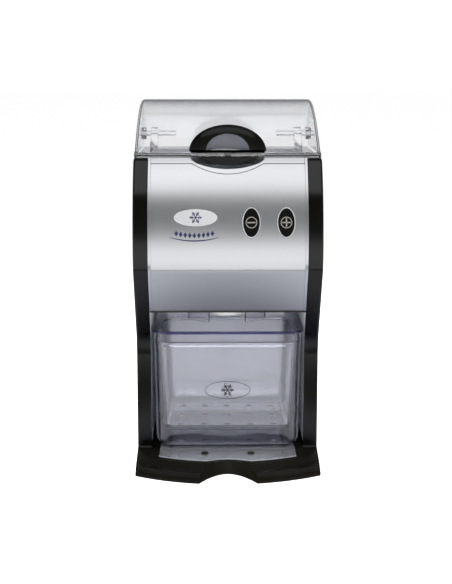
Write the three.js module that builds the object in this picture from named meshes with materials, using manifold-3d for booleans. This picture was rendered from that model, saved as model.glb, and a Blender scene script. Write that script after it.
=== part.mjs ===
// Counter-top electric ice crusher, in millimetres, +Z up, front towards -Y.
// Every piece is built in the machine frame: x = 0 is the centre plane, y = 0 is the foremost line of the
// head and z = 0 is the lower edge of the base skirt. The exported group moves that frame so that the
// origin is the centre of the footprint, on the surface that the rubber feet stand on.
import * as THREE from "three";
import { mergeVertices } from "three/addons/utils/BufferGeometryUtils.js";
import Module from "manifold-3d";

const wasm = await Module();
wasm.setup();

// ---- driving dimensions ------------------------------------------------------------------------------
const GAP = 0.3; // clearance between touching pieces
const WIDTH = 230;
const HALF = WIDTH / 2;
const SIDE_T = 18; // thickness of a side panel
const BAY = HALF - SIDE_T; // inner half width between the side panels
const INSIDE = BAY - GAP; // half width of the pieces that sit between them
const FOOT_DROP = 2; // how far the rubber feet reach below the skirt

const BASE = { radius: 213, centreY: 180, deck: 18, rear: 302.7, lip: 3, slope: 16, inset: 27.5 };
// Half of the scallop in the front of the base, from its corner to the centre plane, in plan.
const SCALLOP = [[-46, -52], [-35.5, -31], [-27.5, -17], [-20.4, -6.5], [-15, -0.5], [-8, 4.8], [0, 7]];
const PLATE_NOTCH = [[-60, -20], [-34, 0], [-27, 2.2], [-20.5, 4.5], [-10, 8.5], [0, 9.8]];
const REAR = 300; // back of the side panels and the rear cover
const DEPTH_FRONT = BASE.centreY - Math.sqrt(BASE.radius ** 2 - SCALLOP[1][0] ** 2);

const HEAD = { radius: 184, centreZ: 277, creaseZ: 257, floorZ: 202, topZ: 391.5, set: 1 };
const HEAD_FLOOR = { y0: 37.5, y1: 221.7, z0: 199.3, z1: 201.7 };
const BAY_EDGE_Y = 60.5; // front edge of the side panels beside the container
const SLOPE_LOW = { y: 51.1, z: 171 }; // where the slope under the crease ends
const PANEL_TOP = 390.5;
const TOP_CORNER = 32; // rear upper corner radius

const HINGE = { y: 226, z: 410.5, pin: 3, hole: 3.3 };
const LID = { half: 114.5, wall: 3, edgeZ: 394, frontY: 46.5, topZ: 457.5, topY: 215, rearY: 242.5 };
const LIP = { y0: 39, y1: 47.5, z0: 391.9, z1: 396.4 }; // the bar along the front edge of the lid
const HANDLE = { y: 54, z: 396.8, half: 47.5, front: 12, rear: 46, high: 35 };
const NECK = { x0: 31, x1: 41, y1: 48, top: 398.6 }; // joins the handle's tongue to its dome, each side
const TONGUE = { radius: 66, centreZ: 447.5, y0: 42, y1: 45 };

const BUTTON = { z: 315.2, half: 9.6, tall: 17, travel: 2 };
const BUTTON_X = { minus: 28, plus: 70 };
const BADGE = { x: -39, z: 321, half: 26.3, tall: 10.4 };

const ROTOR = { z: 271, shaft: 7, hub: 12, tip: 33, bore: 38 };
const MOTOR = { radius: 42, shaft: 5 };
const GEAR = { module: 2.4, teeth: 45, pinionTeeth: 15, y0: 191, y1: 201 };
MOTOR.z = ROTOR.z + (GEAR.module * (GEAR.teeth + GEAR.pinionTeeth)) / 2;
const CHAMBER = { y0: 94, y1: 166 };
const BLADE_PITCH = 15;
const CHUTE = { y: 145, radius: 25, lowZ: 179 };

// ---- materials ---------------------------------------------------------------------------------------
const material = (color, roughness, metalness = 0, extra = {}) =>
  new THREE.MeshStandardMaterial({ color, roughness, metalness, ...extra });
const clear = { transparent: true, opacity: 0.3 };
const LOOK = {
  black: material(0x14130f, 0.18),
  silver: material(0xc4c6ca, 0.28, 0.6),
  clearPlastic: material(0xc9cede, 0.06, 0, clear),
  handle: material(0x12110e, 0.22),
  steel: material(0xb9bbbe, 0.3, 0.9),
  grey: material(0xcfd1d4, 0.4),
  white: material(0xf0f0ee, 0.35),
  rubber: material(0x1b1b1b, 0.85),
  darkMetal: material(0x55575a, 0.5, 0.7),
  brass: material(0xb08d4a, 0.4, 0.8),
  board: material(0x1f5a38, 0.6),
  badge: material(0xd9dbde, 0.3),
};

// ---- solids ------------------------------------------------------------------------------------------
// A closed three.js geometry as a manifold solid.
function solid(geometry) {
  const g = geometry.clone();
  g.deleteAttribute("normal");
  g.deleteAttribute("uv");
  const merged = mergeVertices(g, 1e-4);
  return new wasm.Manifold(
    new wasm.Mesh({
      numProp: 3,
      vertProperties: new Float32Array(merged.attributes.position.array),
      triVerts: new Uint32Array(merged.index.array),
    }),
  );
}

function geometryOf(manifold) {
  const mesh = manifold.getMesh();
  const position = new Float32Array(mesh.numVert * 3);
  for (let i = 0; i < mesh.numVert; i++) {
    position.set(mesh.vertProperties.subarray(i * mesh.numProp, i * mesh.numProp + 3), i * 3);
  }
  const g = new THREE.BufferGeometry();
  g.setAttribute("position", new THREE.BufferAttribute(position, 3));
  g.setIndex(new THREE.BufferAttribute(new Uint32Array(mesh.triVerts), 1));
  g.computeVertexNormals();
  return g;
}

const joinAll = (solids) => solids.reduce((a, b) => a.add(b));
const cutAll = (body, tools) => tools.reduce((a, b) => a.subtract(b), body);

function prism(points, depth) {
  const corners = points.map(([u, v]) => new THREE.Vector2(u, v));
  const distinct = corners.filter((p, i) => p.distanceTo(corners[(i + 1) % corners.length]) > 1e-3);
  const shape = new THREE.Shape(distinct);
  return new THREE.ExtrudeGeometry(shape, { depth, bevelEnabled: false });
}

// An outline in (y, z) pulled along X, one in (x, z) along Y, and one in (x, y) along Z.
const alongX = (points, x0, x1) => {
  const axes = new THREE.Matrix4().makeBasis(
    new THREE.Vector3(0, 1, 0),
    new THREE.Vector3(0, 0, 1),
    new THREE.Vector3(1, 0, 0),
  );
  return solid(prism(points, x1 - x0).applyMatrix4(axes).translate(x0, 0, 0));
};
const alongY = (points, y0, y1) => solid(prism(points, y1 - y0).rotateX(Math.PI / 2).translate(0, y1, 0));
const alongZ = (points, z0, z1) => solid(prism(points, z1 - z0).translate(0, 0, z0));

const box = (x0, x1, y0, y1, z0, z1) =>
  solid(
    new THREE.BoxGeometry(x1 - x0, y1 - y0, z1 - z0).translate((x0 + x1) / 2, (y0 + y1) / 2, (z0 + z1) / 2),
  );

// Points of an arc, angles in degrees.
function arc(cu, cv, r, from, to, steps) {
  const points = [];
  for (let i = 0; i <= steps; i++) {
    const a = THREE.MathUtils.degToRad(from + ((to - from) * i) / steps);
    points.push([cu + r * Math.cos(a), cv + r * Math.sin(a)]);
  }
  return points;
}
const oval = (cu, cv, ru, rv, steps = 24) =>
  arc(0, 0, 1, 0, 360, steps)
    .slice(0, -1)
    .map(([u, v]) => [cu + ru * u, cv + rv * v]);
const curve = (start, control, end, steps) =>
  new THREE.QuadraticBezierCurve(...[start, control, end].map((p) => new THREE.Vector2(...p)))
    .getPoints(steps)
    .map((p) => [p.x, p.y]);

const rodX = (y, z, r, x0, x1, steps = 20) => alongX(oval(y, z, r, r, steps), x0, x1);
const rodY = (x, z, r, y0, y1, steps = 24) => alongY(oval(x, z, r, r, steps), y0, y1);
const rodZ = (x, y, r, z0, z1, steps = 20) => alongZ(oval(x, y, r, r, steps), z0, z1);

// A path moved sideways by d, to the right of its direction of travel.
function shifted(path, d, closed = false) {
  const n = path.length;
  return path.map(([u, v], i) => {
    const before = path[closed ? (i + n - 1) % n : Math.max(0, i - 1)];
    const after = path[closed ? (i + 1) % n : Math.min(n - 1, i + 1)];
    const a = new THREE.Vector2(u - before[0], v - before[1]).normalize();
    const b = new THREE.Vector2(after[0] - u, after[1] - v).normalize();
    const mitre = new THREE.Vector2().addVectors(a, b).normalize();
    const across = Math.max(0.5, mitre.dot(b.lengthSq() ? b : a));
    return [u + (mitre.y * d) / across, v - (mitre.x * d) / across];
  });
}
// A closed outline moved inwards by d; corners too tight for the move are dropped.
function insetOutline(outline, d) {
  const lines = outline.map(([u, v], i) => {
    const [nextU, nextV] = outline[(i + 1) % outline.length];
    return new THREE.Line3(new THREE.Vector3(u, v, 0), new THREE.Vector3(nextU, nextV, 0));
  });
  const nearest = new THREE.Vector3();
  const clearOf = (line, point) => {
    line.closestPointToPoint(point, true, nearest);
    return nearest.distanceTo(point) > d - 0.02;
  };
  return shifted(outline, d, true).filter(([u, v]) => {
    const point = new THREE.Vector3(u, v, 0);
    return lines.every((line) => clearOf(line, point));
  });
}
// The span of x from a to b on the right side, or its mirror image on the left.
const acrossX = (sign, a, b) => (sign > 0 ? [a, b] : [-b, -a]);
// A strip between two shifted copies of a path.
const strip = (path, near, far) => [...shifted(path, near), ...shifted(path, far).reverse()];

// A ring of points at height z: a rectangle of half width w from y0 to y1 with corner radius r.
function ring(z, w, y0, y1, r) {
  const corner = (cx, cy, from) => arc(cx, cy, r, from, from + 90, 5);
  return [
    ...corner(w - r, y1 - r, 0),
    ...corner(-w + r, y1 - r, 90),
    ...corner(-w + r, y0 + r, 180),
    ...corner(w - r, y0 + r, 270),
  ].map(([x, y]) => new THREE.Vector3(x, y, z));
}

// A closed solid through rings of equal length, lowest first.
function loft(rings) {
  const n = rings[0].length;
  const position = rings.flat().flatMap((p) => [p.x, p.y, p.z]);
  const index = [];
  for (let k = 0; k + 1 < rings.length; k++) {
    for (let i = 0; i < n; i++) {
      const a = k * n + i;
      const b = k * n + ((i + 1) % n);
      index.push(a, b, b + n, a, b + n, a + n);
    }
  }
  const last = (rings.length - 1) * n;
  for (let i = 1; i + 1 < n; i++) {
    index.push(0, i + 1, i, last, last + i, last + i + 1);
  }
  const g = new THREE.BufferGeometry();
  g.setAttribute("position", new THREE.Float32BufferAttribute(position, 3));
  g.setIndex(index);
  return solid(g);
}

// ---- the assembly ------------------------------------------------------------------------------------
const machine = new THREE.Group();
machine.position.set(0, -(BASE.rear + DEPTH_FRONT) / 2, FOOT_DROP);

function place(name, made, look, parent = machine) {
  const mesh = new THREE.Mesh(made.isBufferGeometry ? made : geometryOf(made), look);
  mesh.name = name;
  parent.add(mesh);
  return mesh;
}

// The head's outer surface from the floor of the head up to its top edge, in (y, z).
function facePath(z0 = HEAD.floorZ, z1 = HEAD.topZ, steps = 14) {
  const onArc = (z) => HEAD.set + HEAD.radius - Math.sqrt(HEAD.radius ** 2 - (z - HEAD.centreZ) ** 2);
  const fall = (SLOPE_LOW.y + HEAD.set - onArc(HEAD.creaseZ)) / (HEAD.creaseZ - SLOPE_LOW.z);
  const path = [];
  if (z0 < HEAD.creaseZ) path.push([onArc(HEAD.creaseZ) + fall * (HEAD.creaseZ - z0), z0]);
  const low = Math.max(z0, HEAD.creaseZ);
  for (let i = 0; i <= steps; i++) {
    const z = low + ((z1 - low) * i) / steps;
    path.push([onArc(z), z]);
  }
  return path;
}

// A frame whose +Y points into the head, square to its surface at height z.
function faceFrame(z) {
  const tilt = Math.asin((z - HEAD.centreZ) / HEAD.radius);
  const frame = new THREE.Group();
  const reach = HEAD.radius;
  const back = HEAD.set + HEAD.radius - reach * Math.cos(tilt);
  frame.position.set(0, back, HEAD.centreZ + reach * Math.sin(tilt));
  frame.rotation.x = -tilt;
  frame.updateMatrix();
  machine.add(frame);
  return frame;
}
const inMachine = (made, frame) => solid(geometryOf(made).applyMatrix4(frame.matrix));

// ---- base --------------------------------------------------------------------------------------------
const FEET = [
  ["front_left", -82, 32],
  ["front_right", 82, 32],
  ["rear_left", -90, 280],
  ["rear_right", 90, 280],
];

function disc(profile) {
  const points = profile.map(([r, z]) => new THREE.Vector2(r, z));
  const turned = new THREE.LatheGeometry(points, 96).rotateX(Math.PI / 2);
  return solid(turned.translate(0, BASE.centreY, 0));
}

// The region in front of a scallop line, moved out by grow, from z0 to z1.
function scallopCut(half, grow, z0, z1) {
  const mirrored = half.slice(0, -1).map(([x, y]) => [-x, y]);
  const line = shifted([...half, ...mirrored.reverse()], -grow);
  return alongZ([...line, [60, -70], [-60, -70]].reverse(), z0, z1);
}

function footprint(inset) {
  const w = HALF - inset;
  const rear = BASE.rear - inset;
  const r = 12 - Math.min(inset, 8);
  return [[-w, -60], [w, -60], ...arc(w - r, rear - r, r, 0, 90, 5), ...arc(-w + r, rear - r, r, 90, 180, 5)];
}

function baseCasting() {
  const { radius, lip, slope, inset, deck } = BASE;
  const outer = disc([
    [0, 0],
    [radius, 0],
    [radius, lip],
    [radius - inset, slope],
    [radius - 32, deck],
    [0, deck],
  ]);
  const wall = 6;
  const inner = disc([
    [0, -1],
    [radius - wall, -1],
    [radius - wall, 2],
    [radius - inset - 2, slope - 4],
    [radius - inset - 6, deck - 4],
    [0, deck - 4],
  ]);
  const hollow = alongZ(footprint(5), -1, deck)
    .intersect(inner)
    .subtract(scallopCut(SCALLOP, 5, -2, deck));
  const posts = FEET.map(([, x, y]) => rodZ(x, y, 8, 3.3, deck - 3, 16).subtract(rodZ(x, y, 4.6, 3, 10, 12)));
  const shell = alongZ(footprint(0), 0, deck)
    .intersect(outer)
    .subtract(scallopCut(SCALLOP, 0, -2, deck + 2))
    .subtract(hollow);
  return joinAll([shell, ...posts]);
}

function bottomPlate() {
  const sheet = alongZ(footprint(5.6), 1.2, 3)
    .intersect(rodZ(0, BASE.centreY, BASE.radius - 9.5, 0, 4, 72))
    .subtract(scallopCut(SCALLOP, 7, 0, 4));
  return cutAll(sheet, FEET.map(([, x, y]) => rodZ(x, y, 4.4, 0, 4, 12)));
}

const foot = (x, y) => rodZ(x, y, 12, -FOOT_DROP, 0.9, 24).add(rodZ(x, y, 4, 0.5, 8, 12));

// The bright plate on the floor of the bay, with two runners that the container stands on.
function dripPlate() {
  const w = 86;
  const frontRadius = BASE.radius - 32.5;
  const top = BASE.deck + 1.5;
  const runners = [-60, 60].map((x) => box(x - 3, x + 3, 80, 200, top - 0.5, 21));
  const plate = alongZ([[-w, -60], [w, -60], [w, 215], [-w, 215]], BASE.deck + GAP, top)
    .intersect(rodZ(0, BASE.centreY, frontRadius, 0, 30, 96))
    .subtract(scallopCut(PLATE_NOTCH, 0, 0, 30));
  return joinAll([plate, ...runners]);
}

place("base_casting", baseCasting(), LOOK.black);
place("bottom_plate", bottomPlate(), LOOK.darkMetal);
for (const [corner, x, y] of FEET) place("foot_" + corner, foot(x, y), LOOK.rubber);
place("drip_plate", dripPlate(), LOOK.steel);
for (const [side, x] of [["left", -29], ["right", 29]]) {
  place("plate_pad_" + side, rodZ(x, 31, 4.5, BASE.deck + 1.5 + GAP, BASE.deck + 2.9, 16), LOOK.rubber);
}

// ---- side panels, inner walls, back --------------------------------------------------------------------
function sideOutline(toe = 0) {
  const bottom = BASE.deck + GAP;
  const foot = toe ? arc(BAY_EDGE_Y - toe, bottom + toe, toe, 270, 360, 4) : [[BAY_EDGE_Y, bottom]];
  const face = facePath(HEAD.creaseZ, 387, 14).map(([y, z]) => [y - HEAD.set, z]);
  const topStart = face[face.length - 1];
  return [
    [REAR, bottom],
    ...foot,
    ...curve([BAY_EDGE_Y, 140], [BAY_EDGE_Y, 157], [SLOPE_LOW.y, SLOPE_LOW.z], 5),
    ...face,
    ...curve(topStart, [39.5, PANEL_TOP], [46, PANEL_TOP], 3).slice(1),
    ...arc(REAR - TOP_CORNER, PANEL_TOP - TOP_CORNER, TOP_CORNER, 90, 0, 7),
  ];
}

function sidePanel(sign) {
  const pocket = insetOutline(sideOutline(), 6);
  const hollow = alongX(pocket, ...acrossX(sign, BAY - 1, HALF - 3));
  return alongX(sideOutline(8), ...acrossX(sign, BAY, HALF)).subtract(hollow);
}

function innerWall(sign) {
  const edge = insetOutline(sideOutline(), 6.8);
  return sign > 0 ? alongX(edge, BAY, BAY + 2.5) : alongX(edge, -BAY - 2.5, -BAY);
}

for (const [side, sign] of [["left", -1], ["right", 1]]) {
  place("side_panel_" + side, sidePanel(sign), LOOK.black);
  place("inner_wall_" + side, innerWall(sign), LOOK.grey);
}

const REAR_SCREWS = [[-88, 40], [88, 40], [-88, 345], [88, 345]];
const INLET = { x: -50, z: 62, half: 13.7, tall: 9.8 };

function rearCover() {
  const path = [
    [195.5, PANEL_TOP],
    ...arc(REAR - TOP_CORNER, PANEL_TOP - TOP_CORNER, TOP_CORNER, 90, 0, 7),
    [REAR, BASE.deck + GAP],
  ];
  const sheet = alongX(strip(path, 0, 3), -INSIDE, INSIDE);
  const slots = [];
  for (let i = 0; i < 8; i++) slots.push(box(-46, 46, 290, 305, 272 + i * 10, 276 + i * 10));
  for (let i = 0; i < 4; i++) slots.push(box(10, 76, 290, 305, 48 + i * 10, 52 + i * 10));
  const holes = REAR_SCREWS.map(([x, z]) => rodY(x, z, 1.9, 290, 305, 12));
  const { x, z, half, tall } = INLET;
  const inlet = box(x - half - GAP, x + half + GAP, 290, 305, z - tall - GAP, z + tall + GAP);
  return cutAll(sheet, [...slots, ...holes, inlet]);
}

const screw = (x, z) =>
  rodY(x, z, 3.6, REAR + GAP, REAR + 2.3, 16)
    .add(rodY(x, z, 1.6, REAR - 10, REAR + 1, 10))
    .subtract(box(x - 2.6, x + 2.6, REAR + 1.3, REAR + 3, z - 0.4, z + 0.4));

function mainsInlet() {
  const { x, z, half, tall } = INLET;
  const flange = alongY(
    [[x - 17, z - 13], [x + 17, z - 13], [x + 17, z + 13], [x - 17, z + 13]],
    REAR + GAP,
    REAR + 2.3,
  );
  const body = box(x - half, x + half, 272, REAR + 1, z - tall, z + tall);
  const cavity = box(x - half + 2, x + half - 2, 281, REAR + 5, z - tall + 2, z + tall - 2);
  const pins = [[-7, -2], [0, 2], [7, -2]].map(([dx, dz]) =>
    box(x + dx - 1, x + dx + 1, 280, 296, z + dz - 2, z + dz + 2),
  );
  return joinAll([flange.add(body).subtract(cavity), ...pins]);
}

place("rear_cover", rearCover(), LOOK.black);
REAR_SCREWS.forEach(([x, z], i) => place("rear_screw_" + (i + 1), screw(x, z), LOOK.steel));
place("mains_inlet", mainsInlet(), LOOK.rubber);
place("bay_back_wall", box(-INSIDE, INSIDE, 222, 224, BASE.deck + GAP, HEAD_FLOOR.z0 - GAP), LOOK.grey);

// ---- head --------------------------------------------------------------------------------------------
function headFloor() {
  return box(-INSIDE, INSIDE, HEAD_FLOOR.y0, HEAD_FLOOR.y1, HEAD_FLOOR.z0, HEAD_FLOOR.z1).subtract(
    rodZ(0, CHUTE.y, CHUTE.radius + 1.6, 190, 210, 32),
  );
}

const BOARD = { front: 15.7, thick: 1.6 };
const SEAM = { z: 383.9, half: 43, dip: 12 };
SEAM.radius = (SEAM.half ** 2 + SEAM.dip ** 2) / (2 * SEAM.dip);
const seamRound = (grow) => rodY(0, SEAM.z - SEAM.dip + SEAM.radius, SEAM.radius + grow, -20, 80, 96);

const RIM = 3; // width of the frame that shows beside the fascia
const bezelCut = (grow) =>
  Object.values(BUTTON_X).map((x) =>
    inMachine(alongY(oval(x, 0, BUTTON.half + grow, BUTTON.tall + grow, 28), -12, 14), buttonFrame),
  );
const buttonFrame = faceFrame(BUTTON.z);

// The frame behind the fascia, with a rim that shows each side of it and four posts for the switch board.
function headFrame() {
  const edge = strip(facePath(), 0, 5);
  const back = strip(facePath(HEAD.floorZ, SEAM.z - SEAM.dip - 6), 3, 5);
  const rims = alongX(edge, INSIDE - RIM, INSIDE).add(alongX(edge, -INSIDE, RIM - INSIDE));
  const posts = [[13, -20], [85, -20], [13, 20], [85, 20]].map(([x, z]) =>
    inMachine(rodY(x, z, 3, 4.6, BOARD.front - GAP, 10), buttonFrame),
  );
  return cutAll(joinAll([rims, alongX(back, -INSIDE + 1, INSIDE - 1), ...posts]), bezelCut(2.6));
}

function frontFascia() {
  const w = INSIDE - RIM - GAP;
  const sheet = alongX(strip(facePath(HEAD.floorZ, SEAM.z - GAP), 0.2, 2.7), -w, w);
  return cutAll(sheet.subtract(seamRound(GAP)), bezelCut(1.9));
}

// The silver trim above the seam, with the finger scoop below the handle.
function topTrim() {
  const w = INSIDE - RIM - GAP;
  const sheet = alongX(strip(facePath(360, HEAD.topZ), 0.2, 2.7), -w, w);
  const above = sheet.intersect(box(-w, w, 0, 80, SEAM.z, HEAD.topZ + 5));
  const cap = box(-w, w, 41.5, 53.5, HEAD.topZ - 2.5, HEAD.topZ);
  const surround = alongX([...facePath(373, HEAD.topZ), [53.5, HEAD.topZ], [53.5, 373]], -52, 52);
  const scoop = solid(new THREE.SphereGeometry(1, 32, 16).scale(46, 14.5, 15).translate(0, 37.5, 393));
  const body = joinAll([above, cap, surround.intersect(seamRound(0)), sheet.intersect(seamRound(0))]);
  return body.subtract(scoop);
}

place("head_floor", headFloor(), LOOK.darkMetal);
place("head_frame", headFrame(), LOOK.silver);
place("front_fascia", frontFascia(), LOOK.silver);
place("top_trim", topTrim(), LOOK.silver);

// Buttons, their rings, and the switch board behind them, all square to the fascia.
for (const [sign, x] of Object.entries(BUTTON_X)) {
  const { half, tall } = BUTTON;
  const bezel = alongY(oval(x, 0, half + 1.6, tall + 1.6, 28), -0.8, 2.4).subtract(
    alongY(oval(x, 0, half + GAP, tall + GAP, 28), -3, 4),
  );
  place("bezel_" + sign, bezel, LOOK.steel, buttonFrame);
  place("button_" + sign, alongY(oval(x, 0, half, tall, 28), -1.2, 6), LOOK.handle, buttonFrame);
  place("switch_" + sign, box(x - 4, x + 4, 8.3, BOARD.front - GAP, -4, 4), LOOK.rubber, buttonFrame);
}
place("switch_board", box(8, 90, BOARD.front, BOARD.front + BOARD.thick, -24, 24), LOOK.board, buttonFrame);

const badgeFrame = faceFrame(BADGE.z);
const badgeOutline = oval(BADGE.x, 0, BADGE.half, BADGE.tall, 32);
place("badge_plate", alongY(badgeOutline, -1.1, -0.1), LOOK.badge, badgeFrame);

// ---- hopper, crusher and chute -------------------------------------------------------------------------
function hopper() {
  const rim = box(-INSIDE, INSIDE, 54, 194.5, HEAD.topZ - 2.5, HEAD.topZ);
  const outer = loft([
    ring(323.3, 36.5, 92.5, 167.5, 6),
    ring(334, 38.5, 91, 169, 8),
    ring(389.5, 90.5, 57.5, 192.5, 16),
  ]);
  const inner = loft([
    ring(320, 34, 95, 165, 4),
    ring(333, 35.5, 93.5, 166.5, 6),
    ring(389, 87.5, 60, 190, 14),
    ring(395, 87.5, 60, 190, 14),
  ]);
  return rim.add(outer).subtract(inner);
}

function crusherHousing() {
  const { z, bore } = ROTOR;
  const block = box(-50, 50, 84, 176, 226, 323);
  const legs = [[-50, 84], [42, 84], [-50, 168], [42, 168]].map(([x, y]) =>
    box(x, x + 8, y, y + 8, HEAD_FLOOR.z1 + GAP, 227),
  );
  return cutAll(joinAll([block, ...legs]), [
    rodY(0, z, bore, CHAMBER.y0, CHAMBER.y1, 40),
    box(-34, 34, CHAMBER.y0 + 1, CHAMBER.y1 - 1, z, 330),
    box(-34, 34, CHAMBER.y0 + 1, CHAMBER.y1 - 1, 220, z),
    rodY(0, z, 11, 80, 180, 24),
    box(-52, -36, CHAMBER.y0 + 0.4, CHAMBER.y1 - 0.4, z - 9, z + 9),
  ]);
}

function fixedComb() {
  const { z, hub } = ROTOR;
  const bar = box(-49.5, -39, CHAMBER.y0 + 1, CHAMBER.y1 - 1, z - 8, z + 8);
  const finger = [[-39.5, z - 7], [-hub - 1.5, z - 3], [-hub - 1.5, z + 3], [-39.5, z + 7]];
  const fingers = [];
  for (let y = 100 + BLADE_PITCH / 2; y < 155; y += BLADE_PITCH) {
    fingers.push(alongY(finger, y - 2.5, y + 2.5));
  }
  return joinAll([bar, ...fingers]);
}

const bearing = (y0, y1) =>
  rodY(0, ROTOR.z, 10.7, y0, y1, 24).subtract(rodY(0, ROTOR.z, ROTOR.shaft + GAP, y0 - 1, y1 + 1, 24));

// The rotor: a shaft and hub with five two-armed blades, each a quarter turn on from the last.
function rotorShaft() {
  const { z, shaft, hub, tip } = ROTOR;
  const parts = [rodY(0, z, shaft, 80, 203, 24), rodY(0, z, hub, CHAMBER.y0 + 1, CHAMBER.y1 - 1, 24)];
  for (let i = 0; i < 5; i++) {
    const y = 100 + BLADE_PITCH * i;
    const arm = [[-7, -8], [7, -8], [4, -tip], [-2, -tip]];
    const half = alongY(arm, y - 2.5, y + 2.5);
    const both = half.add(half.rotate([0, 180, 0]));
    parts.push(both.rotate([0, 45 * i, 0]).translate([0, 0, z]));
  }
  return joinAll(parts);
}

// Outline of an involute gear about the origin, in (x, z), with a tooth centred on +Z.
function gearOutline(teeth, slack, toothAt) {
  const pitch = (GEAR.module * teeth) / 2;
  const base = pitch * Math.cos(THREE.MathUtils.degToRad(20));
  const tip = pitch + GEAR.module * 0.95;
  const root = pitch - GEAR.module * 1.2;
  const roll = (r) => (r <= base ? 0 : Math.tan(Math.acos(base / r)) - Math.acos(base / r));
  const halfTooth = Math.PI / (2 * teeth) - slack / (2 * pitch);
  const points = [];
  for (let k = 0; k < teeth; k++) {
    const centre = toothAt + (k * 2 * Math.PI) / teeth;
    const flank = [root, (root + tip) / 2 + 0.3, tip].map((r) => [
      r,
      halfTooth + roll(pitch) - roll(r),
    ]);
    for (const [r, half] of flank) points.push([centre - half, r]);
    for (const [r, half] of flank.reverse()) points.push([centre + half, r]);
  }
  return points.map(([a, r]) => [r * Math.cos(a), r * Math.sin(a)]);
}

function driveGear() {
  const { z, shaft } = ROTOR;
  const wheel = alongY(gearOutline(GEAR.teeth, 0.35, Math.PI / 2), GEAR.y0, GEAR.y1).translate([0, 0, z]);
  const windows = [0, 1, 2, 3].map((k) => {
    const a = THREE.MathUtils.degToRad(45 + 90 * k);
    return rodY(31 * Math.cos(a), z + 31 * Math.sin(a), 13, 180, 210, 20);
  });
  return cutAll(wheel, [...windows, rodY(0, z, shaft + GAP, 180, 210, 24)]);
}

function motorPinion() {
  const facing = -Math.PI / 2 + Math.PI / GEAR.pinionTeeth;
  const outline = gearOutline(GEAR.pinionTeeth, 0.35, facing);
  const wheel = alongY(outline, GEAR.y0, GEAR.y1).translate([0, 0, MOTOR.z]);
  return wheel.subtract(rodY(0, MOTOR.z, MOTOR.shaft + GAP, 180, 210, 20));
}

function gearPlate() {
  const plate = alongY(
    [[-62, 202], [62, 202], [62, 300], [46, 356], [-46, 356], [-62, 300]],
    180,
    184,
  );
  const posts = [[-36, 7], [36, 7], [-33, -16], [33, -16]].map(([x, dz]) =>
    rodY(x, MOTOR.z + dz, 4, 183, 205.7, 12),
  );
  return cutAll(joinAll([plate, ...posts]), [
    rodY(0, ROTOR.z, ROTOR.shaft + 0.6, 170, 190, 20),
    rodY(0, MOTOR.z, MOTOR.shaft + 0.6, 170, 190, 20),
  ]);
}

place("hopper", hopper(), LOOK.grey);
place("crusher_housing", crusherHousing(), LOOK.darkMetal);
place("fixed_comb", fixedComb(), LOOK.steel);
place("bearing_front", bearing(84.5, 92), LOOK.steel);
place("bearing_rear", bearing(168, 175.5), LOOK.steel);
place("rotor_shaft", rotorShaft(), LOOK.steel);
place("drive_gear", driveGear(), LOOK.white);
place("gear_plate", gearPlate(), LOOK.darkMetal);

function dischargeChute() {
  const { y, radius, lowZ } = CHUTE;
  const tube = (z, grow) => {
    const r = radius + grow;
    return ring(z, r, y - r, y + r, r - 0.01);
  };
  const outer = loft([tube(lowZ, 0), tube(206, 1), ring(225.7, 37, 93, 170, 10)]);
  const inner = loft([
    tube(lowZ - 1, -2.5),
    tube(206, -1.5),
    ring(226, 34, 96, 167, 8),
    ring(228, 34, 96, 167, 8),
  ]);
  return outer.subtract(inner);
}

// One clear guard beside the chute, standing down from the floor of the head.
function chuteSkirt(sign) {
  const facing = sign > 0 ? [297, 350] : [190, 243];
  const outer = arc(0, CHUTE.y, 52.5, ...facing, 8);
  const inner = arc(0, CHUTE.y, 50, ...facing, 8).reverse();
  return alongZ([...outer, ...inner], 174.3, HEAD_FLOOR.z0 - GAP);
}

place("discharge_chute", dischargeChute(), LOOK.white);
place("chute_skirt_left", chuteSkirt(-1), LOOK.clearPlastic);
place("chute_skirt_right", chuteSkirt(1), LOOK.clearPlastic);

// ---- motor -------------------------------------------------------------------------------------------
const motorRing = (y0, y1, outer, inner) =>
  rodY(0, MOTOR.z, outer, y0, y1, 36).subtract(rodY(0, MOTOR.z, inner, y0 - 1, y1 + 1, 24));

function motorBell(y0, y1, openTowards) {
  const cup = motorRing(y0, y1, MOTOR.radius, MOTOR.shaft + 0.6);
  const depth = [y0 + 4, y1 - 4];
  const hollow = openTowards > 0 ? [depth[0], y1 + 1] : [y0 - 1, depth[1]];
  return cup.subtract(rodY(0, MOTOR.z, MOTOR.radius - 4, ...hollow, 32));
}

function motorFan() {
  const hub = rodY(0, MOTOR.z, 12, 282.5, 289, 20);
  const blades = [];
  for (let k = 0; k < 7; k++) {
    const blade = box(-1, 1, 283.5, 288, 8, 31).rotate([0, (360 * k) / 7, 0]);
    blades.push(blade.translate([0, 0, MOTOR.z]));
  }
  return joinAll([hub, ...blades]).subtract(rodY(0, MOTOR.z, MOTOR.shaft + GAP, 280, 295, 20));
}

place("motor_bell_front", motorBell(206, 222, 1), LOOK.darkMetal);
place("motor_stator", motorRing(222.3, 262, MOTOR.radius - 0.5, 25), LOOK.darkMetal);
place("motor_bell_rear", motorBell(262.3, 279, -1), LOOK.darkMetal);
const armature = rodY(0, MOTOR.z, MOTOR.shaft, 176, 292, 20).add(rodY(0, MOTOR.z, 24, 224, 260, 28));
place("motor_shaft", armature, LOOK.steel);
place("motor_pinion", motorPinion(), LOOK.brass);
place("motor_fan", motorFan(), LOOK.rubber);
place("motor_capacitor", rodZ(-45, 255, 17, BASE.deck + GAP, 84, 24), LOOK.white);

// ---- lid, handle and hinge -----------------------------------------------------------------------------
function lidTop(steps) {
  const { frontY, edgeZ, topY, topZ, rearY } = LID;
  return [
    ...curve([frontY, edgeZ], [144, topZ], [topY, topZ], steps),
    ...curve([topY, topZ], [rearY, topZ], [rearY, 432], 6).slice(1),
    [rearY, HINGE.z - 6],
  ];
}

// How far the lid's side edges are rounded in, at each distance from the end of the lid.
const LID_ROUND = [[0, 8], [1, 4.6], [3.4, 1.8], [8, 0]];

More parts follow.
